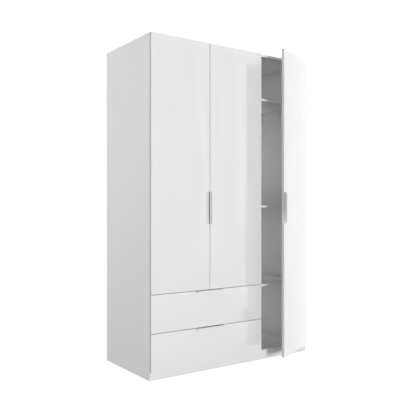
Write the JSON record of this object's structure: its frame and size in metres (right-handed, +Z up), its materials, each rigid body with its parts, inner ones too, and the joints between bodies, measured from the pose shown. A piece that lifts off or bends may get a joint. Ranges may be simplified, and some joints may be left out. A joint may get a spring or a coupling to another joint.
{
  "type": "wardrobe",
  "caption": "Tall free-standing wardrobe with hinged full-overlay doors, wide drawers under two of them, an open shelf bay and edge-mounted pulls.",
  "frame": {"origin": "middle of the front plinth's underside, on the floor", "axes": "+X to the right seen from the front, +Y to the back, +Z up"},
  "size_m": [1.335, 0.8343, 2.16],
  "materials": {
    "carcass_board": "fine-textured matt white melamine on chipboard",
    "gloss_front": "high-gloss white lacquer on MDF",
    "back_board": "thin white-faced hardboard",
    "drawer_board": "white foil-wrapped board",
    "white_plastic": "satin white extrusion",
    "pull_aluminium": "brushed and anodised",
    "chrome": "polished",
    "nickel": "nickel-plated steel pressing",
    "coated_steel": "white epoxy powder coat"
  },
  "bodies": {
    "carcass": {"left_side_panel": "carcass_board", "right_side_panel": "carcass_board", "partition_panel": "carcass_board", "top_panel": "carcass_board", "bottom_panel": "carcass_board", "front_plinth": "carcass_board", "rear_plinth": "carcass_board", "drawer_cover_panel": "carcass_board", "hat_shelf": "carcass_board", "right_shelf_1": "carcass_board", "right_shelf_2": "carcass_board", "right_shelf_3": "carcass_board", "back_board_left": "back_board", "back_board_middle": "back_board", "back_board_right": "back_board", "back_board_joiner": "white_plastic", "clothes_rail": "chrome", "rail_cup_left": "chrome", "rail_cup_right": "chrome", "hinge_arm_1_1": "nickel", "hinge_arm_1_2": "nickel", "hinge_arm_1_3": "nickel", "hinge_arm_2_1": "nickel", "hinge_arm_2_2": "nickel", "hinge_arm_2_3": "nickel", "hinge_arm_3_1": "nickel", "hinge_arm_3_2": "nickel", "hinge_arm_3_3": "nickel", "hinge_arm_3_4": "nickel", "lower_drawer_fixed_runner_left": "coated_steel", "lower_drawer_fixed_runner_right": "coated_steel", "upper_drawer_fixed_runner_left": "coated_steel", "upper_drawer_fixed_runner_right": "coated_steel"},
    "door_1": {"door_1_panel": "gloss_front", "door_1_pull": "pull_aluminium"},
    "door_2": {"door_2_panel": "gloss_front", "door_2_pull": "pull_aluminium"},
    "door_3": {"door_3_panel": "gloss_front", "door_3_pull": "pull_aluminium"},
    "lower_drawer": {"lower_drawer_front": "gloss_front", "lower_drawer_pull": "pull_aluminium", "lower_drawer_left_side": "drawer_board", "lower_drawer_right_side": "drawer_board", "lower_drawer_rear": "drawer_board", "lower_drawer_bottom": "back_board", "lower_drawer_moving_runner_left": "coated_steel", "lower_drawer_moving_runner_right": "coated_steel"},
    "upper_drawer": {"upper_drawer_front": "gloss_front", "upper_drawer_pull": "pull_aluminium", "upper_drawer_left_side": "drawer_board", "upper_drawer_right_side": "drawer_board", "upper_drawer_rear": "drawer_board", "upper_drawer_bottom": "back_board", "upper_drawer_moving_runner_left": "coated_steel", "upper_drawer_moving_runner_right": "coated_steel"}
  },
  "joints": [
    {"name": "door_1_hinge", "type": "hinge", "parent": "carcass", "child": "door_1", "pos_m": [-0.666, -0.028, 0], "axis": [0, 0, -1], "range_deg": [0, 95]},
    {"name": "door_2_hinge", "type": "hinge", "parent": "carcass", "child": "door_2", "pos_m": [0.221, -0.028, 0], "axis": [0, 0, 1], "range_deg": [0, 95]},
    {"name": "door_3_hinge", "type": "hinge", "parent": "carcass", "child": "door_3", "pos_m": [0.666, -0.028, 0], "axis": [0, 0, 1], "range_deg": [-25, 70]},
    {"name": "lower_drawer_slide", "type": "slide", "parent": "carcass", "child": "lower_drawer", "axis": [0, -1, 0], "range_m": [0, 0.36]},
    {"name": "upper_drawer_slide", "type": "slide", "parent": "carcass", "child": "upper_drawer", "axis": [0, -1, 0], "range_m": [0, 0.36]}
  ]
}
